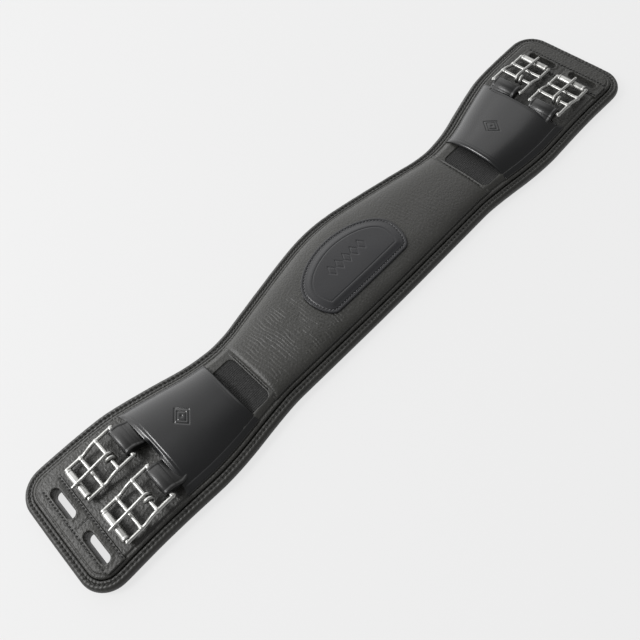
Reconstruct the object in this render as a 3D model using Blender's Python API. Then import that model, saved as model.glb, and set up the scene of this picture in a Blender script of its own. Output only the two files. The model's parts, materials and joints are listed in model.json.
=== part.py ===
"""A short anatomic saddle girth of padded leather, lying along X with its outer face up.

The origin is the centre of the underside. +X runs to the right end, and +Y to the side that bulges
in the middle. A leather flap rides on a woven elastic band at each end, and carries two chapes, each
with a roller buckle. Each buckle's frame turns on its chape, and its prong and roller turn on the frame.
"""

import math

import bmesh
import bpy
import numpy as np

# Outline of the padded base. Each edge is a smooth curve through (distance from the middle, distance
# from the X axis), and each end closes with two round corners.
GIRTH_LENGTH = 0.658
CORNER_RADIUS = 0.024
CORNER_START = GIRTH_LENGTH / 2 - CORNER_RADIUS
UPPER_EDGE = (
    (0.0, 0.0591),
    (0.030, 0.0565),
    (0.095, 0.0435),
    (0.125, 0.0372),
    (0.140, 0.0362),
    (0.165, 0.0391),
    (0.190, 0.0457),
    (0.220, 0.0536),
    (0.240, 0.0579),
    (0.268, 0.0601),
    (CORNER_START, 0.0608),
)
LOWER_EDGE = (
    (0.0, 0.0541),
    (0.095, 0.0533),
    (0.125, 0.0532),
    (0.150, 0.0557),
    (0.180, 0.0594),
    (0.205, 0.0608),
    (0.235, 0.0597),
    (0.268, 0.0589),
    (CORNER_START, 0.0593),
)
EDGE_STEPS = 38
CORNER_STEPS = 6

# Heights of the layers, from the underside up.
CLEARANCE = 0.0003
LINING_TOP = 0.0015
ROLL_TOP = 0.0090
FOAM_TOP = 0.0087
COVER_TOP = 0.0120
REINFORCEMENT_TOP = 0.0131
STRAP_BASE = COVER_TOP + CLEARANCE
WEBBING_TOP = 0.0138
ELASTIC_TOP = 0.0141
PADDING_TOP = 0.0156
OVERLAY_CROWN = 0.0063
PATCH_BASE = 0.0190
PATCH_TOP = 0.0203
FLAP_CROWN = 0.0100

# How far each layer is set in from the outline.
LINING_INSET = 0.0010
ROLL_WIDTH = 0.0080
COVER_INSET = 0.0084
MOULDING_INSET = 0.0114
PADDING_INSET = 0.0178

# Section of the roll round the edge, from the outer bottom up: (share of its width, share of its top).
ROLL_SECTION = (
    (0.10, 0.20),
    (0.0, 0.50),
    (0.13, 0.82),
    (0.46, 1.0),
    (0.78, 0.91),
    (1.0, 0.66),
    (1.0, 0.20),
)

# Billet slots, through every layer of the base, and the strip of leather that reinforces each pair.
# The strip reaches inwards and outwards from the slots' middle.
SLOT_LENGTH = 0.030
SLOT_WIDTH = 0.008
SLOT_X = {"left": 0.3044, "right": 0.2980}
SLOTS_MIDDLE_Y = -0.0037
SLOT_SPACING = 0.046
SLOT_ARC_STEPS = 6
SLOT_CUTTER_BOTTOM = -0.005
SLOT_CUTTER_TOP = 0.020
REINFORCEMENT_INWARDS = 0.0109
REINFORCEMENT_OUTWARDS = 0.0081
REINFORCEMENT_WIDTH = 0.090

# Webbing and elastic under the overlay and the flaps.
STRAP_Y = -0.0118
STRAP_WIDTH = 0.050
WEBBING_REACH = 0.115
ELASTIC_REACH = 0.224

# Moulded leather on top: overlay and flaps.
OVERLAY_WALL = 0.0015
FLAP_WALL = 0.0018
FLAP_CORNER_REACH = 0.004
SECTION_STEPS = 12
PADDING_SETBACK = 0.004
OVERLAY_STATIONS = 17
FLAP_STATIONS = 7
PADDING_STATIONS = 15

# Badge patch: a straight lower edge, short sides and an arched top.
PATCH_MIDDLE_X = -0.004
PATCH_HALF_LENGTH = 0.0535
PATCH_BASE_HALF_LENGTH = 0.041
PATCH_BOTTOM_Y = -0.0273
PATCH_SHOULDER_Y = -0.0018
PATCH_ARCH_Y = 0.0322
PATCH_ARCH_POWER = 1.9
PATCH_ARCH_STEPS = 16
PATCH_SIDE_STEPS = 5

# Roller buckle. Distances run outwards from the end bar, and heights from the end bar's axis.
BUCKLE_RAIL_SPACING = 0.032
RAIL_RADIUS = 0.0016
RAIL_TAIL = 0.0025
HINGE_BAR_OUT = 0.0145
MIDDLE_BAR_OUT = 0.0315
ROLLER_OUT = 0.0445
RAIL_BEND_START = 0.0170
RAIL_BEND_END = 0.0300
RAIL_BEND_STEPS = 5
FRAME_DROP = 0.0040
END_BAR_HEIGHT = 0.0210
END_BAR_RADIUS = 0.0015
HINGE_BAR_RADIUS = 0.0017
MIDDLE_BAR_RADIUS = 0.0017
ROLLER_BAR_RADIUS = 0.0014
ROLLER_RADIUS = 0.00325
ROLLER_LENGTH = 0.0282
ROLLER_SIDES = 20
PRONG_RADIUS = 0.0015
PRONG_TURNS = 1.5
PRONG_PITCH = 0.0042
PRONG_OVERHANG = 0.0045
PRONG_OFFSET = 0.0010
PRONG_STEPS_PER_TURN = 12
# Half way to the roller the prong has made this share of its fall, and its tip droops below the roller.
PRONG_MIDDLE_FALL = 0.62
PRONG_TIP_DROOP = 0.0006
WIRE_ROUNDNESS = 2

# Chape: a strap folded round the end bar.
CHAPE_WIDTH = 0.026
CHAPE_TAIL_WIDTH = 0.015
CHAPE_LOOP_RADIUS = 0.0042
CHAPE_LOOP_START = math.radians(-100)
CHAPE_LOOP_SWEEP = math.radians(300)
CHAPE_LOOP_STEPS = 16
CHAPE_TAIL_REACH = 0.0265
CHAPE_BEND_REACH = 0.0065
CHAPE_TAIL_BOTTOM = ELASTIC_TOP + 0.0006
CHAPE_TAIL_THICKNESS = 0.0034

END_SIGN = {"left": -1, "right": 1}
OVERLAY_EDGE = 0.1350
FLAP_INNER_EDGE = 0.1555
FLAP_OUTER_EDGE = {"left": 0.2285, "right": 0.2330}
# Distance of each roller's axis from the middle, and the buckle's place across the girth.
BUCKLES = {
    ("left", "upper"): (0.2865, 0.0202),
    ("left", "lower"): (0.2845, -0.0268),
    ("right", "upper"): (0.2860, 0.0212),
    ("right", "lower"): (0.2840, -0.0228),
}

# Faces that meet at more than this angle keep a sharp edge.
SHARP_ANGLE = math.radians(35)

# Base colour, roughness and metallic value of each material.
FINISHES = {
    "black_leather": ((0.020, 0.020, 0.019), 0.55, 0.0),
    "smooth_leather": ((0.024, 0.024, 0.026), 0.32, 0.0),
    "lining_leather": ((0.028, 0.027, 0.026), 0.62, 0.0),
    "elastic": ((0.014, 0.014, 0.014), 0.85, 0.0),
    "webbing": ((0.030, 0.030, 0.032), 0.80, 0.0),
    "foam": ((0.180, 0.180, 0.170), 0.90, 0.0),
    "polished_steel": ((0.780, 0.780, 0.760), 0.18, 1.0),
}


def clear_scene():
    for obj in list(bpy.data.objects):
        bpy.data.objects.remove(obj, do_unlink=True)


def material(name):
    found = bpy.data.materials.get(name)
    if found:
        return found
    colour, roughness, metallic = FINISHES[name]
    made = bpy.data.materials.new(name)
    made.use_nodes = True
    shader = made.node_tree.nodes["Principled BSDF"]
    shader.inputs["Base Color"].default_value = (*colour, 1.0)
    shader.inputs["Roughness"].default_value = roughness
    shader.inputs["Metallic"].default_value = metallic
    return made


def add_object(name, mesh, finish, location=(0, 0, 0), parent=None):
    obj = bpy.data.objects.new(name, mesh)
    bpy.context.scene.collection.objects.link(obj)
    obj.location = location
    obj.parent = parent
    if not mesh.materials:
        mesh.materials.append(material(finish))
    return obj


def add_empty(name, location, turn=0.0, parent=None):
    empty = bpy.data.objects.new(name, None)
    bpy.context.scene.collection.objects.link(empty)
    empty.location = location
    empty.rotation_euler = (0, 0, turn)
    empty.parent = parent
    return empty


# Outline


def edge_distance(knots, x):
    """Smooth curve through the knots, level at its first and last knot."""
    places = [knot[0] for knot in knots]
    values = [knot[1] for knot in knots]
    slopes = [0.0]
    for i in range(1, len(knots) - 1):
        slopes.append((values[i + 1] - values[i - 1]) / (places[i + 1] - places[i - 1]))
    slopes.append(0.0)
    along = min(abs(x), places[-1])
    i = max(k for k in range(len(knots) - 1) if places[k] <= along)
    span = places[i + 1] - places[i]
    t = (along - places[i]) / span
    start = (1 + 2 * t) * (1 - t) ** 2 * values[i] + t * (1 - t) ** 2 * span * slopes[i]
    end = t * t * (3 - 2 * t) * values[i + 1] - t * t * (1 - t) * span * slopes[i + 1]
    return start + end


def upper_y(x):
    return edge_distance(UPPER_EDGE, x)


def lower_y(x):
    return -edge_distance(LOWER_EDGE, x)


def corner_arc(centre_x, centre_y, start_angle):
    """Points inside a quarter turn, without its two ends."""
    angles = [start_angle + math.pi / 2 * i / CORNER_STEPS for i in range(1, CORNER_STEPS)]
    return [
        (centre_x + CORNER_RADIUS * math.cos(a), centre_y + CORNER_RADIUS * math.sin(a))
        for a in angles
    ]


def girth_outline(inset=0.0):
    """The outline's points, counter-clockwise from the lower left, moved inwards by inset."""
    stations = np.linspace(-CORNER_START, CORNER_START, EDGE_STEPS)
    end_x = GIRTH_LENGTH / 2
    low = lower_y(CORNER_START) + CORNER_RADIUS
    high = upper_y(CORNER_START) - CORNER_RADIUS
    points = [(x, lower_y(x)) for x in stations]
    points += corner_arc(CORNER_START, low, -math.pi / 2)
    points += [(end_x, low), (end_x, 0.0), (end_x, high)]
    points += corner_arc(CORNER_START, high, 0.0)
    points += [(x, upper_y(x)) for x in stations[::-1]]
    points += corner_arc(-CORNER_START, high, math.pi / 2)
    points += [(-end_x, high), (-end_x, 0.0), (-end_x, low)]
    points += corner_arc(-CORNER_START, low, math.pi)
    ring = np.array(points)
    tangent = np.roll(ring, -1, axis=0) - np.roll(ring, 1, axis=0)
    tangent /= np.linalg.norm(tangent, axis=1)[:, None]
    inwards = np.column_stack((-tangent[:, 1], tangent[:, 0]))
    return ring + inset * inwards


# Solids


def mesh_from(name, build):
    """A mesh made by build(bm), with its normals facing out."""
    bm = bmesh.new()
    build(bm)
    bmesh.ops.recalc_face_normals(bm, faces=bm.faces)
    mesh = bpy.data.meshes.new(name)
    bm.to_mesh(mesh)
    bm.free()
    return mesh


def prism_mesh(name, outline, low, high):
    """The closed outline in XY, extruded from height low to height high."""

    def build(bm):
        face = bm.faces.new([bm.verts.new((x, y, low)) for x, y in outline])
        grown = bmesh.ops.extrude_face_region(bm, geom=[face])
        top = [v for v in grown["geom"] if isinstance(v, bmesh.types.BMVert)]
        bmesh.ops.translate(bm, verts=top, vec=(0, 0, high - low))

    return mesh_from(name, build)


def add_loft(bm, rings, closed):
    """Skins a list of rings of equal length. A closed loft joins its last ring to its first."""
    loops = [[bm.verts.new(point) for point in ring] for ring in rings]
    pairs = list(zip(loops, loops[1:]))
    if closed:
        pairs.append((loops[-1], loops[0]))
    for first, second in pairs:
        for i in range(len(first)):
            k = (i + 1) % len(first)
            bm.faces.new((first[i], first[k], second[k], second[i]))
    return loops


def stadium(centre_x, centre_y):
    """Outline of a slot with round ends, long in Y."""
    straight = (SLOT_LENGTH - SLOT_WIDTH) / 2
    points = []
    for side, start in ((1, 0.0), (-1, math.pi)):
        for i in range(SLOT_ARC_STEPS + 1):
            angle = start + math.pi * i / SLOT_ARC_STEPS
            points.append(
                (
                    centre_x + SLOT_WIDTH / 2 * math.cos(angle),
                    centre_y + side * straight + SLOT_WIDTH / 2 * math.sin(angle),
                )
            )
    return points


def add_slot_cutters():
    """One helper body for each billet slot, longer than the base is thick."""
    cutters = []
    for end, sign in END_SIGN.items():
        for row, side in (("upper", 1), ("lower", -1)):
            slot_y = SLOTS_MIDDLE_Y + side * SLOT_SPACING / 2
            outline = stadium(sign * SLOT_X[end], slot_y)
            mesh = prism_mesh(f"slot_cutter_{end}_{row}", outline, SLOT_CUTTER_BOTTOM, SLOT_CUTTER_TOP)
            cutter = add_object(mesh.name, mesh, "foam")
            cutter.hide_render = True
            cutter.display_type = "WIRE"
            cutters.append(cutter)
    return cutters


def cut_slots(obj, cutters):
    for cutter in cutters:
        cut = obj.modifiers.new(cutter.name, "BOOLEAN")
        cut.operation = "DIFFERENCE"
        cut.object = cutter


def baked_mesh(name, obj):
    """The mesh of obj with its modifiers applied. The object and its helpers are then removed."""
    graph = bpy.context.evaluated_depsgraph_get()
    mesh = bpy.data.meshes.new_from_object(obj.evaluated_get(graph))
    mesh.name = name
    helpers = [m.object for m in obj.modifiers if m.type == "BOOLEAN"]
    for helper in (*helpers, obj):
        bpy.data.objects.remove(helper, do_unlink=True)
    return mesh


def joined_mesh(name, first, others, operation="UNION"):
    """first joined with, or cut by, each of the other meshes."""
    obj = bpy.data.objects.new(name, first)
    bpy.context.scene.collection.objects.link(obj)
    for mesh in others:
        tool = bpy.data.objects.new(mesh.name, mesh)
        bpy.context.scene.collection.objects.link(tool)
        step = obj.modifiers.new(mesh.name, "BOOLEAN")
        step.operation = operation
        step.object = tool
    bpy.context.view_layer.update()
    return baked_mesh(name, obj)


def wire_mesh(name, points, radius):
    """A round wire along the points, with flat ends."""
    curve = bpy.data.curves.new(name, "CURVE")
    curve.dimensions = "3D"
    curve.bevel_depth = radius
    curve.bevel_resolution = WIRE_ROUNDNESS
    curve.use_fill_caps = True
    spline = curve.splines.new("POLY")
    spline.points.add(len(points) - 1)
    for point, place in zip(spline.points, points):
        point.co = (*place, 1.0)
    obj = bpy.data.objects.new(name, curve)
    bpy.context.scene.collection.objects.link(obj)
    bpy.context.view_layer.update()
    mesh = baked_mesh(name, obj)
    bm = bmesh.new()
    bm.from_mesh(mesh)
    bmesh.ops.remove_doubles(bm, verts=bm.verts, dist=1e-6)
    bmesh.ops.recalc_face_normals(bm, faces=bm.faces)
    bm.to_mesh(mesh)
    bm.free()
    return mesh


def shade_round(mesh):
    mesh.shade_smooth()
    mesh.set_sharp_from_angle(angle=SHARP_ANGLE)


# Padded base


def add_rolled_edge():
    """The soft roll round the pad, which stands on the lining."""
    rings = []
    for across, up in ROLL_SECTION:
        ring = girth_outline(across * ROLL_WIDTH)
        rings.append([(x, y, up * ROLL_TOP) for x, y in ring])
    mesh = mesh_from("rolled_edge", lambda bm: add_loft(bm, rings, closed=True))
    shade_round(mesh)
    return add_object("rolled_edge", mesh, "lining_leather")


def add_base(cutters):
    layers = (
        ("lining_panel", LINING_INSET, 0.0, LINING_TOP, "lining_leather"),
        ("foam_core", COVER_INSET, LINING_TOP + CLEARANCE, FOAM_TOP, "foam"),
        ("cover_panel", COVER_INSET, FOAM_TOP + CLEARANCE, COVER_TOP, "black_leather"),
    )
    for name, inset, low, high, finish in layers:
        mesh = prism_mesh(name, girth_outline(inset), low, high)
        cut_slots(add_object(name, mesh, finish), cutters)
    add_rolled_edge()
    for end, sign in END_SIGN.items():
        inner = sign * (SLOT_X[end] - REINFORCEMENT_INWARDS)
        outer = sign * (SLOT_X[end] + REINFORCEMENT_OUTWARDS)
        low = SLOTS_MIDDLE_Y - REINFORCEMENT_WIDTH / 2
        high = SLOTS_MIDDLE_Y + REINFORCEMENT_WIDTH / 2
        outline = [(inner, low), (outer, low), (outer, high), (inner, high)]
        mesh = prism_mesh(f"slot_reinforcement_{end}", outline, STRAP_BASE, REINFORCEMENT_TOP)
        cut_slots(add_object(mesh.name, mesh, "black_leather"), cutters)


# Straps and mouldings


def strap_mesh(name, start_x, end_x, top):
    low, high = STRAP_Y - STRAP_WIDTH / 2, STRAP_Y + STRAP_WIDTH / 2
    outline = [(start_x, low), (end_x, low), (end_x, high), (start_x, high)]
    return prism_mesh(name, outline, STRAP_BASE, top)


def add_straps():
    mesh = strap_mesh("core_webbing", -WEBBING_REACH, WEBBING_REACH, WEBBING_TOP)
    add_object("core_webbing", mesh, "webbing")
    for end, sign in END_SIGN.items():
        start = sign * (WEBBING_REACH + CLEARANCE)
        mesh = strap_mesh(f"elastic_{end}", start, sign * ELASTIC_REACH, ELASTIC_TOP)
        add_object(mesh.name, mesh, "elastic")


def arch(x, inset, crown):
    """Half of a rounded box across the girth at x: (y, height over the cover), low side first."""
    middle = (upper_y(x) + lower_y(x)) / 2
    half = (upper_y(x) - lower_y(x)) / 2 - inset
    points = []
    for i in range(SECTION_STEPS + 1):
        angle = math.pi * (1 - i / SECTION_STEPS)
        across = math.copysign(math.sqrt(abs(math.cos(angle))), math.cos(angle))
        points.append((middle + half * across, crown * math.sqrt(abs(math.sin(angle))), across))
    return points


def moulding_mesh(name, start_x, end_x, corner_reach, crown, wall, stations):
    """A moulded leather cover, open below, whose feet follow the outline of the girth."""
    rings = []
    for i in range(stations):
        share = i / (stations - 1)
        x = start_x + share * (end_x - start_x)
        outer = arch(x, MOULDING_INSET, crown)
        inner = arch(x, MOULDING_INSET + wall, crown - wall)
        ring = []
        for y, height, across in outer + inner[::-1]:
            reach = math.copysign(corner_reach * across**4, end_x)
            ring.append((x + share * reach, y, STRAP_BASE + height))
        rings.append(ring)

    def build(bm):
        loops = add_loft(bm, rings, closed=False)
        last = 2 * SECTION_STEPS + 1
        for loop in (loops[0], loops[-1]):
            for i in range(SECTION_STEPS):
                bm.faces.new((loop[i], loop[i + 1], loop[last - i - 1], loop[last - i]))

    mesh = mesh_from(name, build)
    shade_round(mesh)
    return mesh


def add_overlay():
    mesh = moulding_mesh(
        "centre_overlay",
        -OVERLAY_EDGE,
        OVERLAY_EDGE,
        0.0,
        OVERLAY_CROWN,
        OVERLAY_WALL,
        OVERLAY_STATIONS,
    )
    add_object("centre_overlay", mesh, "black_leather")
    reach = OVERLAY_EDGE - PADDING_SETBACK
    xs = np.linspace(-reach, reach, PADDING_STATIONS)
    outline = [(x, lower_y(x) + PADDING_INSET) for x in xs]
    outline += [(x, upper_y(x) - PADDING_INSET) for x in xs[::-1]]
    mesh = prism_mesh("overlay_padding", outline, ELASTIC_TOP + CLEARANCE, PADDING_TOP)
    add_object("overlay_padding", mesh, "foam")


def patch_outline():
    """Counter-clockwise from the lower left corner."""
    points = [(-PATCH_BASE_HALF_LENGTH, PATCH_BOTTOM_Y), (PATCH_BASE_HALF_LENGTH, PATCH_BOTTOM_Y)]
    flare = PATCH_HALF_LENGTH - PATCH_BASE_HALF_LENGTH
    side = []
    for i in range(1, PATCH_SIDE_STEPS):
        angle = math.pi / 2 * i / PATCH_SIDE_STEPS
        y = PATCH_SHOULDER_Y - (PATCH_SHOULDER_Y - PATCH_BOTTOM_Y) * math.cos(angle)
        side.append((PATCH_BASE_HALF_LENGTH + flare * math.sin(angle), y))
    points += side
    rise = PATCH_ARCH_Y - PATCH_SHOULDER_Y
    for i in range(PATCH_ARCH_STEPS + 1):
        x = PATCH_HALF_LENGTH * math.cos(math.pi * i / PATCH_ARCH_STEPS)
        share = 1 - abs(x / PATCH_HALF_LENGTH) ** PATCH_ARCH_POWER
        points.append((x, PATCH_SHOULDER_Y + rise * math.sqrt(share)))
    points += [(-x, y) for x, y in side[::-1]]
    return [(PATCH_MIDDLE_X + x, y) for x, y in points]


def add_patch():
    mesh = prism_mesh("badge_patch", patch_outline(), PATCH_BASE, PATCH_TOP)
    add_object("badge_patch", mesh, "smooth_leather")


# Buckles


def rail_height(out):
    """Height of a rail's axis: level, then an even bend down to the roller's level."""
    t = (out - RAIL_BEND_START) / (RAIL_BEND_END - RAIL_BEND_START)
    t = min(1.0, max(0.0, t))
    return -FRAME_DROP * t * t * (3 - 2 * t)


def bar_mesh(name, out, radius):
    half = BUCKLE_RAIL_SPACING / 2
    height = rail_height(out)
    return wire_mesh(name, [(out, -half, height), (out, half, height)], radius)


def frame_mesh():
    """Two rails joined by four bars, with the end bar's axis through the origin."""
    bends = np.linspace(RAIL_BEND_START, RAIL_BEND_END, RAIL_BEND_STEPS + 1)
    outs = [-RAIL_TAIL, *bends, ROLLER_OUT + RAIL_RADIUS]
    rails = []
    for side in (-1, 1):
        y = side * BUCKLE_RAIL_SPACING / 2
        path = [(out, y, rail_height(out)) for out in outs]
        rails.append(wire_mesh(f"rail_{side}", path, RAIL_RADIUS))
    bars = (
        ("end_bar", 0.0, END_BAR_RADIUS),
        ("hinge_bar", HINGE_BAR_OUT, HINGE_BAR_RADIUS),
        ("middle_bar", MIDDLE_BAR_OUT, MIDDLE_BAR_RADIUS),
        ("roller_bar", ROLLER_OUT, ROLLER_BAR_RADIUS),
    )
    others = [rails[1]] + [bar_mesh(*bar) for bar in bars]
    mesh = joined_mesh("buckle_frame", rails[0], others)
    shade_round(mesh)
    return mesh


def roller_mesh():
    """A tube along Y with its axis through the origin."""
    hole = ROLLER_BAR_RADIUS + CLEARANCE
    half = ROLLER_LENGTH / 2
    corners = ((hole, -half), (ROLLER_RADIUS, -half), (ROLLER_RADIUS, half), (hole, half))
    rings = []
    for i in range(ROLLER_SIDES):
        angle = 2 * math.pi * i / ROLLER_SIDES
        rings.append([(r * math.cos(angle), y, r * math.sin(angle)) for r, y in corners])
    mesh = mesh_from("buckle_roller", lambda bm: add_loft(bm, rings, closed=True))
    shade_round(mesh)
    return mesh


def prong_mesh(side):
    """A wire wound round the hinge bar, then straight over the roller. The coil lies towards side."""
    coil = HINGE_BAR_RADIUS + CLEARANCE + PRONG_RADIUS
    steps = round(PRONG_TURNS * PRONG_STEPS_PER_TURN)
    points = []
    for i in range(steps + 1):
        left = PRONG_TURNS * (1 - i / steps)
        angle = math.pi / 2 + 2 * math.pi * left
        y = side * (PRONG_OFFSET + PRONG_PITCH * left)
        points.append((coil * math.cos(angle), y, coil * math.sin(angle)))
    roller_out = ROLLER_OUT - HINGE_BAR_OUT
    roller_top = -FRAME_DROP + ROLLER_RADIUS + CLEARANCE + PRONG_RADIUS
    y = side * PRONG_OFFSET
    points.append((roller_out / 2, y, coil + (roller_top - coil) * PRONG_MIDDLE_FALL))
    points.append((roller_out, y, roller_top))
    points.append((roller_out + PRONG_OVERHANG, y, roller_top - PRONG_TIP_DROOP))
    mesh = wire_mesh(f"buckle_prong_{side}", points, PRONG_RADIUS)
    shade_round(mesh)
    return mesh


def chape_mesh():
    """A strap's folded end: a loop round the end bar at the origin, and a tail that narrows inwards."""
    tail_low = CHAPE_TAIL_BOTTOM - END_BAR_HEIGHT
    tail_high = tail_low + CHAPE_TAIL_THICKNESS
    outline = [(-CHAPE_TAIL_REACH, tail_low), (-CHAPE_BEND_REACH, tail_low)]
    for i in range(CHAPE_LOOP_STEPS + 1):
        angle = CHAPE_LOOP_START + CHAPE_LOOP_SWEEP * i / CHAPE_LOOP_STEPS
        outline.append((CHAPE_LOOP_RADIUS * math.cos(angle), CHAPE_LOOP_RADIUS * math.sin(angle)))
    outline += [(-CHAPE_BEND_REACH, tail_high), (-CHAPE_TAIL_REACH, tail_high)]
    rings = []
    for side in (-0.5, 0.5):
        widths = [CHAPE_WIDTH] * len(outline)
        widths[0] = widths[-1] = CHAPE_TAIL_WIDTH
        rings.append([(x, side * width, z) for (x, z), width in zip(outline, widths)])

    def build(bm):
        for loop in add_loft(bm, rings, closed=False):
            bm.faces.new(loop[1:-1])
            bm.faces.new((loop[0], loop[1], loop[-2], loop[-1]))

    solid = mesh_from("chape_solid", build)
    bore = END_BAR_RADIUS + CLEARANCE
    reach = CHAPE_WIDTH
    cutter = wire_mesh("chape_bore", [(0, -reach, 0), (0, reach, 0)], bore)
    mesh = joined_mesh("chape", solid, [cutter], "DIFFERENCE")
    shade_round(mesh)
    return mesh


def add_buckle(end, row, carrier, meshes):
    """A chape and its buckle, whose local +X points outwards along the girth."""
    roller_x, y = BUCKLES[end, row]
    sign = END_SIGN[end]
    turn = 0.0 if sign > 0 else math.pi
    place = (sign * (roller_x - ROLLER_OUT), y, END_BAR_HEIGHT)
    pivot = add_empty(f"end_bar_axis_{end}_{row}", place, turn, carrier)
    add_object(f"chape_{end}_{row}", meshes["chape"], "black_leather", parent=pivot)
    frame = add_object(
        f"buckle_frame_{end}_{row}", meshes["frame"], "polished_steel", parent=pivot
    )
    roller_place = (ROLLER_OUT, 0, -FRAME_DROP)
    add_object(
        f"buckle_roller_{end}_{row}", meshes["roller"], "polished_steel", roller_place, frame
    )
    prong_place = (HINGE_BAR_OUT, 0, 0)
    prong = meshes["prong_" + end]
    add_object(f"buckle_prong_{end}_{row}", prong, "polished_steel", prong_place, frame)


def add_ends():
    """At each end, what slides outwards when the elastic stretches: the flap, chapes and buckles."""
    meshes = {
        "frame": frame_mesh(),
        "roller": roller_mesh(),
        "chape": chape_mesh(),
        "prong_left": prong_mesh(1),
        "prong_right": prong_mesh(-1),
    }
    for end, sign in END_SIGN.items():
        carrier = add_empty(f"end_carrier_{end}", (0, 0, 0))
        flap = moulding_mesh(
            f"flap_{end}",
            sign * FLAP_INNER_EDGE,
            sign * FLAP_OUTER_EDGE[end],
            FLAP_CORNER_REACH,
            FLAP_CROWN,
            FLAP_WALL,
            FLAP_STATIONS,
        )
        add_object(flap.name, flap, "smooth_leather", parent=carrier)
        for row in ("upper", "lower"):
            add_buckle(end, row, carrier, meshes)


def main():
    clear_scene()
    add_base(add_slot_cutters())
    add_straps()
    add_overlay()
    add_patch()
    add_ends()


main()
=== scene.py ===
"""Looks of the leather saddle girth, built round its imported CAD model.

The row frame is the CAD's: the girth lies along X with its outer face up, and the underside is at
z = 0. Lengths are in metres. "Inset" is the distance from the girth's outline, inwards. A mesh is
a pair: its points and its faces.
"""

import json
import math

import bmesh
import bpy
import numpy as np
from mathutils import Matrix, Vector, noise
from mathutils.geometry import delaunay_2d_cdt


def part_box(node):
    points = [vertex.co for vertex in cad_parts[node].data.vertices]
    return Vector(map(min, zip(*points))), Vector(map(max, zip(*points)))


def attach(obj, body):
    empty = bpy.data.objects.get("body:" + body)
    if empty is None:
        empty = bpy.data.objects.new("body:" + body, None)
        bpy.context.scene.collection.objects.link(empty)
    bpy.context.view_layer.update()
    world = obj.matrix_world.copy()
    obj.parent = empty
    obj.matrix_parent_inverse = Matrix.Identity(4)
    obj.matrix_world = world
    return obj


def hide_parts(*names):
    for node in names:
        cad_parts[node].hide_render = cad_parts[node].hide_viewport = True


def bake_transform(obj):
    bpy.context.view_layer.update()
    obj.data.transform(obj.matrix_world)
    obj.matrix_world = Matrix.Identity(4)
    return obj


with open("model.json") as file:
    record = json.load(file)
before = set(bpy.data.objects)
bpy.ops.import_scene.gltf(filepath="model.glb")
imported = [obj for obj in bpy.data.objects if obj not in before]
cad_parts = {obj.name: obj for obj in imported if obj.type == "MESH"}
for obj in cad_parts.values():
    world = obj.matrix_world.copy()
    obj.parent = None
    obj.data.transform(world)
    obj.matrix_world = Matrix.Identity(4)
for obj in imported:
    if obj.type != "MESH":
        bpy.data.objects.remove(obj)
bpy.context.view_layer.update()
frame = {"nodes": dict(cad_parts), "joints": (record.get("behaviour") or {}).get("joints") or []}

ENDS = {"left": -1, "right": 1}
ROWS = ("upper", "lower")
JOINTS = {joint["name"]: joint for joint in frame["joints"]}

TURN = 2 * math.pi
UP = (0.0, 0.0, 1.0)
DOWN = (0.0, 0.0, -1.0)

RIM_POINTS = 2256
STITCH_PITCH = 0.004
ROLL_SEAM_INSET = 0.005
RIDGE_INSET = 0.0086
GROOVE_INSET = 0.0118
FOOT_INSET = 0.012
SLOT_X = {"left": 0.3044, "right": 0.298}
SLOTS_Y = (0.0193, -0.0267)
SLOT_LENGTH = 0.03
SLOT_WIDTH = 0.008

COVER_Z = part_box("cover_panel")[1].z
STRIP_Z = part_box("slot_reinforcement_left")[1].z
ELASTIC_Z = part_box("elastic_left")[1].z
STRAP_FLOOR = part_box("centre_overlay")[0].z
OVERLAY_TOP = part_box("centre_overlay")[1].z
OVERLAY_X = (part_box("centre_overlay")[0].x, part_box("centre_overlay")[1].x)
FLAP_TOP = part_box("flap_left")[1].z
LINING_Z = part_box("lining_panel")[1].z
PATCH_MIDDLE = (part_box("badge_patch")[0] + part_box("badge_patch")[1]) / 2


# Materials


def node(tree, kind, **inputs):
    made = tree.nodes.new(kind)
    for name, value in inputs.items():
        made.inputs[name.replace("_", " ")].default_value = value
    return made


def operation(tree, kind, name, *values):
    """Outputs of a math node. Its inputs are links or plain values."""
    made = tree.nodes.new(kind)
    made.operation = name
    for socket, value in zip(made.inputs, values):
        if isinstance(value, bpy.types.NodeSocket):
            tree.links.new(value, socket)
        else:
            socket.default_value = value
    return made.outputs


def noise_map(tree, place, scale, detail, roughness=0.5):
    made = node(tree, "ShaderNodeTexNoise", Scale=scale, Detail=detail, Roughness=roughness)
    tree.links.new(place, made.inputs["Vector"])
    return made.outputs


def mapped(tree, source, low, high, start=0.3, end=0.7):
    """source, from start to end, turned into low to high."""
    made = node(
        tree, "ShaderNodeMapRange", From_Min=start, From_Max=end, To_Min=low, To_Max=high
    )
    tree.links.new(source, made.inputs["Value"])
    return made.outputs["Result"]


def mixed_colour(tree, factor, first, second):
    made = node(tree, "ShaderNodeMix")
    made.data_type = "RGBA"
    tree.links.new(factor, made.inputs["Factor"])
    made.inputs[6].default_value = (*first, 1.0)
    made.inputs[7].default_value = (*second, 1.0)
    return made.outputs[2]


def bump(tree, height, strength, distance, under=None, invert=False):
    """Normals of a height map, on top of the normals under it."""
    made = node(tree, "ShaderNodeBump", Strength=strength, Distance=distance)
    made.invert = invert
    tree.links.new(height, made.inputs["Height"])
    if under:
        tree.links.new(under, made.inputs["Normal"])
    return made.outputs["Normal"]


def new_material(name, colour, roughness, metallic=0.0):
    """A plain material, with its node tree, its shader and the object's own coordinates."""
    made = bpy.data.materials.new(name)
    made.use_nodes = True
    tree = made.node_tree
    shader = tree.nodes["Principled BSDF"]
    shader.inputs["Base Color"].default_value = (*colour, 1.0)
    shader.inputs["Roughness"].default_value = roughness
    shader.inputs["Metallic"].default_value = metallic
    return made, tree, shader, node(tree, "ShaderNodeTexCoord").outputs["Object"]


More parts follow.
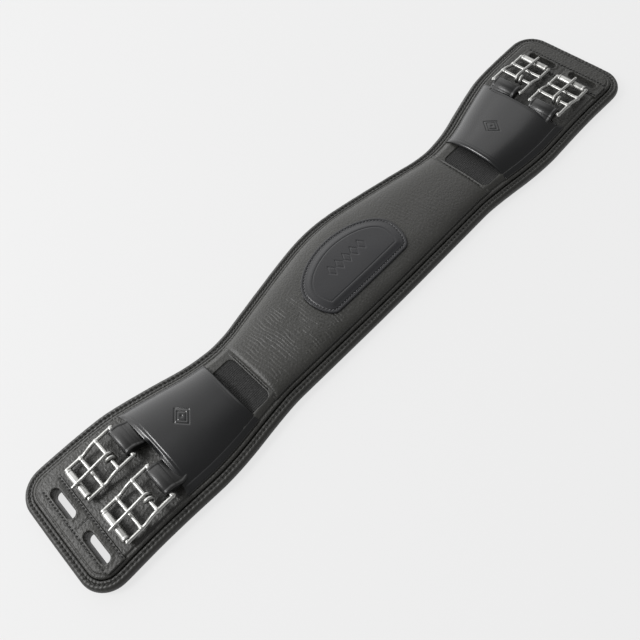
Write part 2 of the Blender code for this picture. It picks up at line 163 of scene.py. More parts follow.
def connect(tree, shader, colour, roughness, normal):
    tree.links.new(colour, shader.inputs["Base Color"])
    tree.links.new(roughness, shader.inputs["Roughness"])
    tree.links.new(normal, shader.inputs["Normal"])


def leather(name, dark, light, cell, grain, roughness, pore=0.15):
    """Leather with pebbles about cell wide and grain deep, wear in patches, and fine pores."""
    made, tree, shader, place = new_material(name, dark, sum(roughness) / 2)
    patches = noise_map(tree, place, 22.0, 5.0, 0.6)["Fac"]
    warp = noise_map(tree, place, 0.35 / cell, 2.0)["Color"]
    pores = noise_map(tree, place, 3.5 / cell, 4.0, 0.65)["Fac"]
    shift = (cell * 1.6,) * 3
    bend = operation(tree, "ShaderNodeVectorMath", "MULTIPLY_ADD", warp, shift, place)
    pebbles = node(tree, "ShaderNodeTexVoronoi", Scale=1 / cell, Randomness=0.95)
    pebbles.feature = "SMOOTH_F1"
    tree.links.new(bend["Vector"], pebbles.inputs["Vector"])
    pebbled = bump(tree, pebbles.outputs["Distance"], 1.0, grain, invert=True)
    pored = bump(tree, pores, pore, grain, pebbled)
    colour = mixed_colour(tree, patches, dark, light)
    connect(tree, shader, colour, mapped(tree, patches, *roughness), pored)
    return made


def woven(name, dark, light, rib, thread, depth):
    """Cloth with ribs along X, rib apart, crossed by threads, thread apart."""
    made, tree, shader, place = new_material(name, dark, 0.8)
    fuzz = noise_map(tree, place, 900.0, 3.0)["Fac"]
    waves = []
    for direction, pitch in (("Y", rib), ("X", thread)):
        wave = node(tree, "ShaderNodeTexWave", Scale=0.1 * math.pi / pitch, Distortion=0.4)
        wave.bands_direction = direction
        tree.links.new(place, wave.inputs["Vector"])
        waves.append(wave.outputs["Fac"])
    weave = operation(tree, "ShaderNodeMath", "MULTIPLY", *waves)["Value"]
    fuzzy = bump(tree, fuzz, 0.4, depth, bump(tree, weave, 1.0, depth))
    colour = mixed_colour(tree, weave, dark, light)
    connect(tree, shader, colour, mapped(tree, fuzz, 0.7, 0.95), fuzzy)
    shader.inputs["Sheen Weight"].default_value = 0.15
    return made


def steel(name, colour, roughness, scratch):
    """Polished steel with fine scratches and a little tarnish."""
    made, tree, shader, place = new_material(name, colour, roughness[0], 1.0)
    tarnish = noise_map(tree, place, 140.0, 4.0)["Fac"]
    hairs = noise_map(tree, place, 1400.0, 2.0)["Fac"]
    worn = tuple(0.82 * c for c in colour)
    mix = mixed_colour(tree, tarnish, worn, colour)
    scratched = bump(tree, hairs, 0.25, scratch)
    connect(tree, shader, mix, mapped(tree, tarnish, *roughness), scratched)
    return made


GRAIN = leather(
    "grain_leather", (0.019, 0.019, 0.017), (0.033, 0.0323, 0.029), 0.0018, 0.00024, (0.4, 0.52)
)
PANEL = leather(
    "panel_leather", (0.015, 0.015, 0.0132), (0.03, 0.0292, 0.0258), 0.0019, 0.00044, (0.42, 0.56)
)
ROLL = leather(
    "roll_leather", (0.012, 0.012, 0.0105), (0.024, 0.0235, 0.021), 0.001, 0.00013, (0.42, 0.56)
)
SMOOTH = leather(
    *("flap_leather", (0.0042, 0.0044, 0.0049), (0.0072, 0.0075, 0.0083)),
    *(0.0007, 0.00001, (0.18, 0.27), 0.3),
)
PATCH = leather(
    *("patch_leather", (0.0075, 0.0077, 0.0092), (0.012, 0.0122, 0.0145)),
    *(0.0008, 0.00002, (0.34, 0.44), 0.5),
)
CHAPE = leather(
    "chape_leather", (0.004,) * 3, (0.008,) * 3, 0.0009, 0.00004, (0.3, 0.4), 0.2
)
LINING = leather(
    "lining_leather", (0.016, 0.0155, 0.014), (0.026, 0.0255, 0.023), 0.0009, 0.00006, (0.48, 0.62)
)
FOAM = leather("foam", (0.15, 0.15, 0.14), (0.22, 0.22, 0.2), 0.0012, 0.0003, (0.85, 0.95), 0.8)
ELASTIC = woven("elastic_weave", (0.003,) * 3, (0.012, 0.012, 0.011), 0.0008, 0.0007, 0.00012)
WEBBING = woven(
    "webbing_weave", (0.012, 0.012, 0.013), (0.035, 0.035, 0.038), 0.0022, 0.0016, 0.0002
)
THREAD_WEAVE = (0.0006, 0.0006, 0.00004)
THREAD = woven("thread", (0.014, 0.014, 0.013), (0.05, 0.05, 0.046), *THREAD_WEAVE)
PATCH_THREAD = woven("patch_thread", (0.045, 0.045, 0.048), (0.11, 0.11, 0.115), *THREAD_WEAVE)
DARK_THREAD = woven("dark_thread", (0.006,) * 3, (0.022, 0.022, 0.02), *THREAD_WEAVE)
STEEL = steel("polished_steel", (0.45, 0.45, 0.435), (0.36, 0.46), 0.000003)


# Meshes


def add_piece(name, shape, finish, body, stands_for=None, sharp=60):
    mesh = bpy.data.meshes.new(name)
    mesh.from_pydata(shape[0].tolist(), [], shape[1])
    bm = bmesh.new()
    bm.from_mesh(mesh)
    bmesh.ops.recalc_face_normals(bm, faces=bm.faces)
    bm.to_mesh(mesh)
    bm.free()
    mesh.materials.append(finish)
    mesh.shade_smooth()
    mesh.set_sharp_from_angle(angle=math.radians(sharp))
    obj = bpy.data.objects.new(name, mesh)
    bpy.context.scene.collection.objects.link(obj)
    if body:
        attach(obj, body)
    if stands_for:
        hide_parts(stands_for)
    return obj


def spots(*values):
    """Points from their coordinates, which are arrays or single numbers."""
    return np.stack(np.broadcast_arrays(*values), -1)


def grid_mesh(grid, wrap_rows=False, wrap_cols=False):
    """A grid of points as quads. A wrapped grid joins its last row or column to its first."""
    rows, cols = grid.shape[:2]
    r = np.arange(rows if wrap_rows else rows - 1)[:, None]
    c = np.arange(cols if wrap_cols else cols - 1)[None, :]
    below, beside = (r + 1) % rows, (c + 1) % cols
    corners = (r * cols + c, r * cols + beside, below * cols + beside, below * cols + c)
    return grid.reshape(-1, 3), spots(*corners).reshape(-1, 4).tolist()


def wire_mesh(rings):
    """Rings of points as a tube with flat ends."""
    points, faces = grid_mesh(rings, wrap_cols=True)
    sides = rings.shape[1]
    first = list(range(sides))
    return points, [*faces, first[::-1], [len(points) - sides + i for i in first]]


def strap_mesh(rings):
    """Flat rings of points as a strap. Quads from one side to the other close its ends."""
    points, faces = grid_mesh(rings, wrap_cols=True)
    rows, cols = rings.shape[:2]
    for start in (0, (rows - 1) * cols):
        for i in range(cols // 2 - 1):
            far = cols - 1 - i
            faces.append([start + i, start + i + 1, start + far - 1, start + far])
    return points, faces


def shell(outer, inner):
    """A closed sheet between two grids of the same size."""
    return strap_mesh(np.concatenate((outer, inner[:, ::-1]), axis=1))


def join_parts(parts):
    """Several meshes as one."""
    points, faces, start = [], [], 0
    for some, theirs in parts:
        points.append(some)
        faces += [[start + i for i in face] for face in theirs]
        start += len(some)
    return np.concatenate(points), faces


def grid_normals(grid):
    """Unit normals of a grid of points, facing up."""
    normals = np.cross(np.gradient(grid, axis=0), np.gradient(grid, axis=1))
    normals /= np.linalg.norm(normals, axis=2, keepdims=True) + 1e-12
    middle = normals[normals.shape[0] // 2, normals.shape[1] // 2]
    return normals if middle[2] > 0 else -normals


def bumpy(x, y, size_x, size_y, seed):
    """Smooth noise from about -1 to 1, whose features are size_x by size_y."""
    x, y = np.broadcast_arrays(x, y)
    places = zip(np.ravel(x), np.ravel(y))
    flat = [noise.noise(Vector((a / size_x, b / size_y, seed))) for a, b in places]
    return np.reshape(flat, np.shape(x))


def smoothstep(value, start, end):
    t = np.clip((value - start) / (end - start), 0.0, 1.0)
    return t * t * (3 - 2 * t)


def bell(value, centre, width):
    return np.exp(-(((value - centre) / width) ** 2))


def rounded(distance, radius):
    """How far a rounded edge lies below the flat, at a distance in from the edge."""
    share = np.clip(1 - distance / radius, 0, 1)
    return radius * (1 - np.sqrt(1 - share**2))


# Paths and loops


def path_lengths(path):
    """Distance along a path to each of its points."""
    return np.concatenate(([0.0], np.cumsum(np.linalg.norm(np.diff(path, axis=0), axis=1))))


def on_path(path, lengths, at):
    return np.column_stack([np.interp(at, lengths, values) for values in path.T])


def evenly(points, count):
    """A closed loop resampled at count equal steps."""
    closed = np.concatenate((points, points[:1]))
    lengths = path_lengths(closed)
    return on_path(closed, lengths, np.linspace(0.0, lengths[-1], count, endpoint=False))


def smooth_loop(points, count):
    """A smooth closed curve through points, resampled at count equal steps."""
    points = points[:, None]
    after = np.roll(points, -1, axis=0)
    step = np.linalg.norm(after - points, axis=2)[..., None]
    slope = (after - np.roll(points, 1, axis=0)) / (step + np.roll(step, 1, axis=0))
    t = np.linspace(0, 1, 24, endpoint=False)[:, None]
    start = (1 + 2 * t) * (1 - t) ** 2 * points + t * (1 - t) ** 2 * step * slope
    end = t * t * (3 - 2 * t) * after - t * t * (1 - t) * step * np.roll(slope, -1, axis=0)
    return evenly((start + end).reshape(-1, 2), count)


def counter_clockwise(loop):
    """The loop, turned round if it runs clockwise."""
    x, y = loop.T
    area = np.sum(x * np.roll(y, -1) - np.roll(x, -1) * y)
    return loop if area > 0 else loop[::-1]


def inward_normals(loop):
    """Unit normals of a counter-clockwise loop, towards its inside."""
    tangent = np.roll(loop, -1, axis=0) - np.roll(loop, 1, axis=0)
    tangent /= np.linalg.norm(tangent, axis=1)[:, None]
    return np.column_stack((-tangent[:, 1], tangent[:, 0]))


CHUNK = 2000


def inside(points, loop):
    found = np.zeros(len(points), bool)
    after = np.roll(loop, -1, axis=0)
    rise = after[:, 1] - loop[:, 1]
    rise[rise == 0] = 1e-15
    for start in range(0, len(points), CHUNK):
        x, y = points[start : start + CHUNK, 0:1], points[start : start + CHUNK, 1:2]
        spans = (loop[:, 1] > y) != (after[:, 1] > y)
        cross = x < (after[:, 0] - loop[:, 0]) * (y - loop[:, 1]) / rise + loop[:, 0]
        found[start : start + CHUNK] = (spans & cross).sum(axis=1) % 2 == 1
    return found


def loop_distance(points, loop):
    """Distance from each point to a closed loop."""
    found = np.empty(len(points))
    side = np.roll(loop, -1, axis=0) - loop
    squared = (side**2).sum(axis=1)
    for start in range(0, len(points), CHUNK):
        some = points[start : start + CHUNK, None, :]
        t = ((some - loop) * side).sum(axis=2) / squared
        nearest = loop + np.clip(t, 0, 1)[..., None] * side
        gap = ((some - nearest) ** 2).sum(axis=2).min(axis=1)
        found[start : start + CHUNK] = np.sqrt(gap)
    return found


# Outline of the pad, from the CAD's rolled edge

CORNER_ZONE = 0.305


def cad_vertices(name):
    mesh = frame["nodes"][name].data
    flat = np.empty(len(mesh.vertices) * 3, np.float32)
    mesh.vertices.foreach_get("co", flat)
    return np.unique(np.round(flat.reshape(-1, 3).astype(float), 6), axis=0)


def pad_outline():
    """The widest ring of the CAD's rolled edge, counter-clockwise, as a smooth loop."""
    points = cad_vertices("rolled_edge")
    widest = points[np.argmax(points[:, 0]), 2]
    ring = points[np.abs(points[:, 2] - widest) < 1e-5][:, :2]
    x, y = ring.T
    # Four runs, 10 apart: the lower side by x, the right end by angle, the upper side, the left.
    side = np.where(y < 0, x, 20 - x)
    corner = np.where(x > 0, 10, 30) + np.arctan2(np.sign(x) * y, np.abs(x) - CORNER_ZONE)
    order = np.argsort(np.where(np.abs(x) > CORNER_ZONE + 1e-5, corner, side))
    return smooth_loop(ring[order], RIM_POINTS)


OUTLINE = pad_outline()
INWARDS = inward_normals(OUTLINE)
PERIMETER = np.linalg.norm(np.roll(OUTLINE, -1, axis=0) - OUTLINE, axis=1).sum()
ALONG_RIM = np.arange(RIM_POINTS) * PERIMETER / RIM_POINTS
RIM_STITCHES = round(PERIMETER / STITCH_PITCH)


def rim(inset, step=1):
    return (OUTLINE + inset * INWARDS)[::step]


def edge_y(x, inset, side):
    """Y of the outline moved inwards, at x, on the upper (1) or lower (-1) side."""
    ring = rim(inset)
    ring = ring[side * ring[:, 1] > 0]
    order = np.argsort(ring[:, 0])
    return np.interp(x, ring[order, 0], ring[order, 1])


# Flat panels with rounded edges and slots

WHOLE = (-1.0, 1.0)
LATTICE_ROW = 0.87


def stadium(centre_x, centre_y, grow=0.0):
    """Outline of a billet slot, made wider all round by grow."""
    radius = SLOT_WIDTH / 2 + grow
    straight = (SLOT_LENGTH - SLOT_WIDTH) / 2
    corners = []
    for side, first in ((1, 0.0), (-1, math.pi)):
        for angle in first + math.pi * np.arange(17) / 16:
            y = side * straight + radius * math.sin(angle)
            corners.append((radius * math.cos(angle), y))
    return evenly(np.array(corners), 84) + (centre_x, centre_y)


def slots(grow, ends=ENDS):
    return [stadium(ENDS[end] * SLOT_X[end], slot_y, grow) for end in ends for slot_y in SLOTS_Y]


def level(z):
    """A panel's face at one height."""
    return lambda points: np.full(len(points), z)


def panel(outline, holes, margins, lattices, top, bottom):
    """A closed slab with this outline and these holes. top and bottom give a point's height.

    margins are distances from every edge at which rows of points run. lattices fill the rest with
    points: each is a spacing, and the distances from the middle, along X, that it lies between.
    """
    loops = [outline, *holes]
    rows = []
    for k, loop in enumerate(loops):
        towards = inward_normals(loop) * (1 if k == 0 else -1)
        rows += [loop + margin * towards for margin in margins]
    low, high = outline.min(axis=0), outline.max(axis=0)
    for spacing, nearest, farthest in lattices:
        xs = np.arange(low[0], high[0], spacing)
        ys = np.arange(low[1], high[1], spacing * LATTICE_ROW)
        x, y = np.meshgrid(xs, ys)
        x = x + (np.arange(len(ys)) % 2)[:, None] * spacing / 2
        some = np.column_stack((x.ravel(), y.ravel()))
        out = np.abs(some[:, 0])
        some = some[(out > nearest) & (out <= farthest)]
        for loop in loops:
            some = some[loop_distance(some, loop) > margins[-1] + 0.4 * spacing]
        rows.append(some)

    def in_panel(places):
        found = inside(places, outline)
        for hole in holes:
            found &= ~inside(places, hole)
        return found

    extra = np.concatenate(rows)
    extra = extra[in_panel(extra)]
    edges, start = [], 0
    for loop in loops:
        edges += [(start + i, start + (i + 1) % len(loop)) for i in range(len(loop))]
        start += len(loop)
    flat = [Vector(p) for p in np.concatenate((*loops, extra))]
    verts, _, triangles, _, _, _ = delaunay_2d_cdt(flat, edges, [], 0, 1e-8)
    places = np.array([tuple(v) for v in verts])
    triangles = np.array(triangles)
    triangles = triangles[in_panel(places[triangles].mean(axis=1))]
    count = len(places)
    points = np.concatenate([np.column_stack((places, face(places))) for face in (top, bottom)])
    sides = np.concatenate((triangles[:, [0, 1]], triangles[:, [1, 2]], triangles[:, [2, 0]]))
    _, which, times = np.unique(
        np.sort(sides, axis=1), axis=0, return_inverse=True, return_counts=True
    )
    rims = sides[times[which.reshape(-1)] == 1]
    walls = [[a, b, b + count, a + count] for a, b in rims.tolist()]
    faces = triangles.tolist() + (triangles[:, ::-1] + count).tolist() + walls
    used = np.unique(np.concatenate([np.ravel(face) for face in faces]))
    renumber = np.full(len(points), -1)
    renumber[used] = np.arange(len(used))
    return points[used], [[int(renumber[i]) for i in face] for face in faces]


# Stitches


def stitch_row(places, along, up, length, radius, slant=0.0):
    """Short threads at places, each along its direction, with its ends sunk in the leather."""
    rings, sides = 7, 8
    t = np.linspace(-1, 1, rings)
    spread = np.sqrt(np.clip(1 - np.abs(t) ** 2.6, 0.02, 1))
    angle = TURN * np.arange(sides) / sides
    template = np.empty((rings, sides, 3))
    template[..., 0] = (t * length / 2)[:, None]
    template[..., 1] = spread[:, None] * np.cos(angle) * radius
    sunk = t**2 * radius * 0.7
    template[..., 2] = spread[:, None] * np.sin(angle) * radius - sunk[:, None]
    template, base = wire_mesh(template)
    along = along / np.linalg.norm(along, axis=1)[:, None]
    side = np.cross(up, along)
    side /= np.linalg.norm(side, axis=1)[:, None]
    if slant:
        turned = along * math.cos(slant) + side * math.sin(slant)
        side = side * math.cos(slant) - along * math.sin(slant)
        along = turned
    stitches = places[:, None]
    for k, way in enumerate((along, side, np.cross(along, side))):
        stitches = stitches + template[:, k, None] * way[:, None]
    return join_parts([(stitch, base) for stitch in stitches])


def spaced(path, pitch, closed=False):
    """Places along a path at equal steps near pitch, with directions."""
    ends = np.concatenate((path, path[:1])) if closed else path
    lengths = path_lengths(ends)
    whole = lengths[-1]
    count = max(2, round(whole / pitch))
    at = (np.arange(count) + 0.5) * whole / count
    step = pitch * 0.2
    ahead, behind = np.minimum(at + step, whole), np.maximum(at - step, 0)
    way = on_path(ends, lengths, ahead) - on_path(ends, lengths, behind)
    return on_path(ends, lengths, at), way


def stitches_on(path, height, pitch, length, radius, slant=0.0, closed=False, lift=0.0):
    """Stitches along a flat path laid on the surface z = height(points)."""
    here, way = spaced(path, pitch, closed)
    rise = height(here + 0.2 * way) - height(here - 0.2 * way)
    along = np.column_stack((0.4 * way, rise))
    places = np.column_stack((here, height(here) + lift))
    return stitch_row(places, along, UP, length, radius, slant)


def rim_stitches(z, up, length, radius):
    """Stitches all along the rolled edge's seam."""
    path = spots(*rim(ROLL_SEAM_INSET).T, z)
    return stitch_row(*spaced(path, STITCH_PITCH, closed=True), up, length, radius)


# Rolled edge: its section as (inset, height), with the seam at the dip on top

ROLL_SECTION = (
    *((0.0014, 0.0015), (0.0004, 0.0026), (0.0000, 0.0045), (0.0004, 0.0064), (0.0014, 0.008)),
    *((0.0028, 0.0089), (0.0038, 0.009), (0.0045, 0.0087), (0.005, 0.0082), (0.0055, 0.0086)),
    *((0.0062, 0.0089), (0.0073, 0.0088), (0.008, 0.0084), (0.0083, 0.0058), (0.0083, 0.0022)),
    (0.0077, 0.0016),
)
ROLL_TOP_HEIGHT = 0.006
ROLL_SEAM_Z = 0.0084


def add_rolled_edge():
    section = smooth_loop(np.array(ROLL_SECTION), 44)
    inset, height = section[:, 0][None, :], section[:, 1][None, :]
    wave = np.cos(TURN * RIM_STITCHES * (ALONG_RIM / PERIMETER)[:, None])
    pull = 0.00042 * bell(inset, ROLL_SEAM_INSET, 0.0013) * (0.5 + 0.5 * wave)
    pucker = 0.00012 * bell(inset, ROLL_SEAM_INSET, 0.0028) * wave
    lumps = 0.00018 * bumpy(*OUTLINE.T, 0.013, 0.013, 3.1)
    lumps = lumps + 0.00022 * bumpy(*OUTLINE.T, 0.045, 0.045, 8.7)
    creases = bumpy(ALONG_RIM[:, None], inset, 0.0028, 0.006, 6.6)
    lift = (lumps[:, None] + 0.00016 * creases) * smoothstep(height, 0.003, 0.008)
    points = np.empty((RIM_POINTS, len(section), 3))
    points[..., :2] = OUTLINE[:, None] + inset[..., None] * INWARDS[:, None]
    points[..., 2] = height + lift - (pull + pucker) * (height > ROLL_TOP_HEIGHT)
    roll = grid_mesh(points, True, True)
    add_piece("edge_roll_leather", roll, ROLL, "pad", "rolled_edge")
    thread = rim_stitches(ROLL_SEAM_Z, UP, 0.0031, 0.00045)
    add_piece("edge_stitches", thread, THREAD, "pad")


# Lining, foam and cover

LINING_INSET = 0.001
LINING_STITCH_Z = 0.0003
LINING_FINE_FROM = 0.208
FOAM_INSET = 0.0094
COVER_OUTLINE = rim(RIDGE_INSET, 2)
COVER_FINE_FROM = 0.215
COVER_COARSE_TO = 0.115


def add_lining():
    outline = rim(LINING_INSET, 2)
    holes = slots(0.0003)

    def low(p):
        edge = loop_distance(p, outline)
        slot = np.min([loop_distance(p, hole) for hole in holes], axis=0)
        quilt = 0.00045 * bell(edge, ROLL_SEAM_INSET - LINING_INSET, 0.0007)
        return rounded(edge, 0.0012) + quilt + rounded(slot, 0.0006)

    margins = (
        *(0.00015, 0.0004, 0.0008, 0.0013, 0.003, 0.0039),
        *(0.0044, 0.0048, 0.0052, 0.0057, 0.0066),
    )
    lattices = ((0.006, -1.0, LINING_FINE_FROM), (0.004, LINING_FINE_FROM, 1.0))
    sheet = panel(outline, holes, margins, lattices, level(LINING_Z), low)
    add_piece("lining_sheet", sheet, LINING, "pad", "lining_panel")
    thread = rim_stitches(LINING_STITCH_Z, DOWN, 0.003, 0.00028)
    add_piece("lining_stitches", thread, DARK_THREAD, "pad")


def add_foam():
    outline = rim(FOAM_INSET, 4)
    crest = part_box("foam_core")[1].z

    def top(p):
        dents = 0.0002 * (1 - bumpy(*p.T, 0.02, 0.02, 5.0))
        return crest - rounded(loop_distance(p, outline), 0.002) - dents

    margins = (0.0003, 0.0009, 0.002)
    base = level(LINING_Z + 0.0003)
    foam = panel(outline, slots(0.0009), margins, ((0.008, *WHOLE),), top, base)
    add_piece("foam_filling", foam, FOAM, "pad", "foam_core")


def cover_height(p):
    """Height of the cover: a rounded ridge at its edge, a groove, then the flat panel."""
    edge = loop_distance(p, COVER_OUTLINE)
    depth = RIDGE_INSET + edge
    ridge = COVER_Z - 0.0009 - 0.9 * rounded(edge, 0.002)
    fall = smoothstep(depth, GROOVE_INSET - 0.001, GROOVE_INSET) * 0.0003
    rise = smoothstep(depth, GROOVE_INSET, GROOVE_INSET + 0.0013) * 0.0012
    soft = 0.00012 * bumpy(*p.T, 0.016, 0.016, 2.2) * smoothstep(depth, 0.012, 0.016)
    return ridge - fall + rise + soft


def add_cover():
    margins = (
        *(0.0002, 0.0005, 0.0009, 0.0014, 0.0019, 0.0024),
        *(0.0028, 0.0032, 0.0037, 0.0043, 0.005),
    )
    lattices = (
        (0.0022, COVER_FINE_FROM, 1.0),
        (0.004, COVER_COARSE_TO, COVER_FINE_FROM),
        (0.008, -1.0, COVER_COARSE_TO),
    )
    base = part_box("cover_panel")[0].z

    def low(p):
        return base - 0.003 * (1 - smoothstep(loop_distance(p, COVER_OUTLINE), 0.0, 0.0009))

    cover = panel(COVER_OUTLINE, slots(0.0006), margins, lattices, cover_height, low)
    add_piece("cover_leather", cover, PANEL, "pad", "cover_panel")


# Slot strips

STRIP_CUT = 0.0035
STRIP_SEAM_INSET = 0.0016
STRIP_STITCH_PITCH = 0.0034

# A lip is the leather turned down into a slot: (growth of the slot, height) round its section.
LIP_SECTION = (
    *((0.0012, STRIP_Z + 0.0002), (0.0007, STRIP_Z + 0.00045), (0.0002, STRIP_Z + 0.0002)),
    *((-0.0001, STRIP_Z - 0.0006), (-0.0001, 0.0065), (-0.0001, 0.0008), (0.0002, 0.0003)),
    *((0.0006, 0.0003), (0.0003, 0.0012), (0.0003, 0.0065), (0.0003, STRIP_Z - 0.001)),
    (0.001, STRIP_Z - 0.0006),
)


def slot_lip(centre_x, centre_y):
    rings = [spots(*stadium(centre_x, centre_y, grow).T, z) for grow, z in LIP_SECTION]
    return grid_mesh(np.array(rings), True, True)


def strip_outline(end):
    """Outline of the strip round a pair of slots: a straight band with cut outer corners."""
    low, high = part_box(f"slot_reinforcement_{end}")
    inner, outer = sorted((low.x, high.x), key=abs)
    cut = STRIP_CUT * ENDS[end]
    half = [(inner, 0), (outer - cut, 0), (outer - 0.3 * cut, 0.0011), (outer, STRIP_CUT)]
    corners = [(x, low.y + y) for x, y in half] + [(x, high.y - y) for x, y in half[::-1]]
    return evenly(counter_clockwise(np.array(corners)), 200)


def add_strip(end, sign):
    name = f"slot_reinforcement_{end}"
    low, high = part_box(name)
    outline = strip_outline(end)
    middle_y = (low.y + high.y) / 2 - 0.001
    lips = slots(0.0, [end])
    inner, outer = sorted((abs(low.x), abs(high.x)))
    seams = (inner + STRIP_SEAM_INSET, outer - STRIP_SEAM_INSET)

    def top(p):
        x, y = p.T
        out = np.abs(x)
        slot = np.min([loop_distance(p, lip) for lip in lips], axis=0)
        seam = sum(bell(out, seam_x, 0.001) for seam_x in seams)
        phase = TURN * y / STRIP_STITCH_PITCH
        cross = bell(y, middle_y, 0.0006) * (1 - smoothstep(out, outer - 0.005, outer - 0.003))
        lip = 0.00045 * bell(slot, 0.0014, 0.0011)
        soft = 0.00015 * bumpy(x, y, 0.007, 0.007, 6.4)
        sunk = seam * (0.0008 + 0.00015 * np.cos(phase)) + 0.0005 * cross
        return STRIP_Z + soft + lip - sunk - rounded(loop_distance(p, outline), 0.0009)

    margins = (0.0001, 0.0003, 0.0006, 0.001)
    base = level(COVER_Z - 0.0006)
    holes = slots(0.001, [end])
    parts = [panel(outline, holes, margins, ((0.0011, *WHOLE),), top, base)]
    parts += [slot_lip(sign * SLOT_X[end], centre_y) for centre_y in SLOTS_Y]
    add_piece(f"slot_strip_{end}", join_parts(parts), PANEL, "pad", name)
    rows = []
    for seam_x in seams:
        ys = np.linspace(low.y + 0.0016, high.y - 0.0016, 120)
        path = spots(sign * seam_x, ys)
        row = stitches_on(path, top, STRIP_STITCH_PITCH, 0.0034, 0.00068, 0.5, lift=0.0003)
        rows.append(row)
    xs = np.linspace(sign * (inner + 0.0025), sign * (outer - 0.0045), 30)
    rows.append(stitches_on(spots(xs, middle_y), top, 0.003, 0.0024, 0.00036, lift=0.0001))
    add_piece(f"slot_strip_stitches_{end}", join_parts(rows), DARK_THREAD, "pad")


# Overlay

OVERLAY_COLS = 84
OVERLAY_END = 0.012
OVERLAY_SEAM = 0.0019
PADDING_INSET = 0.018
WRINKLE_PITCH = 0.0032


def overlay_profile(distance):
    """Share of the crown's height, at a distance in from the overlay's end."""
    step = 1 - np.clip((distance - 0.003) / 0.0065, 0, 1)
    bead = 0.14 * bell(distance, 0.0007, 0.0006)
    return 0.47 + 0.53 * np.sqrt(np.clip(1 - step**2.2, 0, 1)) + bead


def overlay_limits(x):
    return edge_y(x, FOOT_INSET, -1), edge_y(x, FOOT_INSET, 1)


def overlay_y(x, across):
    low, high = overlay_limits(x)
    return (low + high) / 2 + (high - low) / 2 * across


def overlay_height(x, across):
    """Height at x and a share across from -1 to 1, before wrinkles."""
    ends = np.minimum(x - OVERLAY_X[0], OVERLAY_X[1] - x)
    rise = np.clip(1 - np.abs(across) ** 2.7, 0, 1) ** (1 / 1.95)
    return STRAP_FLOOR + (OVERLAY_TOP - STRAP_FLOOR) * overlay_profile(ends) * rise


def overlay_z(p):
    low, high = overlay_limits(p[:, 0])
    across = np.clip((p[:, 1] - (low + high) / 2) / ((high - low) / 2), -1, 1)
    return overlay_height(p[:, 0], across)


def wrinkle(x, y):
    """Creases that run across the girth, deepest to the left of the patch."""
    sway = 0.0026 * bumpy(x, y, 0.014, 0.018, 11.0) + 0.0009 * bumpy(x, y, 0.005, 0.009, 12.0)
    bent = x + 0.12 * y + sway
    wave = 0.5 + 0.5 * np.sin(TURN * bent / WRINKLE_PITCH)
    broad = wave**1.4 * np.clip(0.8 + 0.5 * bumpy(x, y, 0.008, 0.02, 1.3), 0, 1)
    fine = (1 - np.clip(np.abs(bumpy(bent, y, 0.0019, 0.011, 4.6)) / 0.5, 0, 1)) ** 1.3
    left = bell(x, -0.086, 0.052) * (1 - smoothstep(y, 0.008, 0.03))
    right = 0.42 * bell(x, 0.07, 0.026) * (1 - smoothstep(y, 0.006, 0.024))
    below = 0.45 * bell(y, -0.034, 0.008) * (np.abs(x) < 0.08)
    mask = np.clip(left + right + below + 0.05, 0, 1)
    wide = bumpy(x, y, 0.03, 0.02, 9.1) * 0.00022
    return wide - mask * (0.00054 * broad + 0.0001 * fine)


def add_overlay():
    first, last = OVERLAY_X
    xs = np.concatenate(
        (
            np.linspace(first, first + OVERLAY_END, 26, endpoint=False),
            np.linspace(first + OVERLAY_END, last - OVERLAY_END, 470, endpoint=False),
            np.linspace(last - OVERLAY_END, last, 27),
        )
    )
    share = np.linspace(-1, 1, OVERLAY_COLS)
    across = np.sign(share) * (1 - (1 - np.abs(share)) ** 1.35)
    xs = xs[:, None]
    grid = spots(xs, overlay_y(xs, across), overlay_height(xs, across))
    normals = grid_normals(grid)
    ends = np.minimum(xs - first, last - xs)
    calm = smoothstep(ends, 0.004, 0.012) * (1 - np.abs(across) ** 8)
    depth = wrinkle(grid[..., 0], grid[..., 1]) * calm
    seam = -0.00035 * bell(ends, OVERLAY_SEAM, 0.0006)
    grid = grid + normals * (depth + seam)[..., None]
    under = grid - normals * 0.0013
    under[..., 2] = np.maximum(under[..., 2], STRAP_FLOOR - 0.0001)
    sheet = shell(grid, under)
    add_piece("overlay_leather", sheet, GRAIN, "pad", "centre_overlay", 70)
    rows = []
    for x in (first + OVERLAY_SEAM, last - OVERLAY_SEAM):
        ys = np.linspace(edge_y(x, PADDING_INSET, -1), edge_y(x, PADDING_INSET, 1), 90)
        rows.append(stitches_on(spots(x, ys), overlay_z, 0.0036, 0.0028, 0.0004, lift=-0.0002))
    add_piece("overlay_stitches", join_parts(rows), DARK_THREAD, "pad")


def add_padding():
    """What fills the overlay: a soft pad over the webbing, both hidden inside."""
    low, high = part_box("overlay_padding")
    xs = np.linspace(low.x, high.x, 60)
    lower, upper = (spots(xs, edge_y(xs, PADDING_INSET, side)) for side in (-1, 1))
    outline = evenly(np.concatenate((lower, upper[::-1])), 260)

    def top(p):
        return high.z - rounded(loop_distance(p, outline), 0.0012)

    margins = (0.0002, 0.0006, 0.0012)
    pad = panel(outline, [], margins, ((0.006, *WHOLE),), top, level(low.z))
    add_piece("overlay_filling", pad, FOAM, "pad", "overlay_padding")


# Patch

PATCH_RAYS = 420
PATCH_ROWS = 90
PATCH_SEAM_INSET = 0.0028
PATCH_LINE_INSET = 0.0105
LOZENGE_SPACING = 0.009


def patch_loop():
    points = cad_vertices("badge_patch")
    ring = np.unique(np.round(points[:, :2], 5), axis=0)
    middle = (ring.min(axis=0) + ring.max(axis=0)) / 2
    angle = np.arctan2(ring[:, 1] - middle[1], ring[:, 0] - middle[0])
    return smooth_loop(ring[np.argsort(angle)], PATCH_RAYS), middle


def lozenge(x, y, centre, half_width, half_height, line):
    """A plain lozenge, 1 on its outline and 0 away from it. line is its width, as a share."""
    ring = np.abs(x - centre[0]) / half_width + np.abs(y - centre[1]) / half_height
    return bell(ring, 1.0, line)


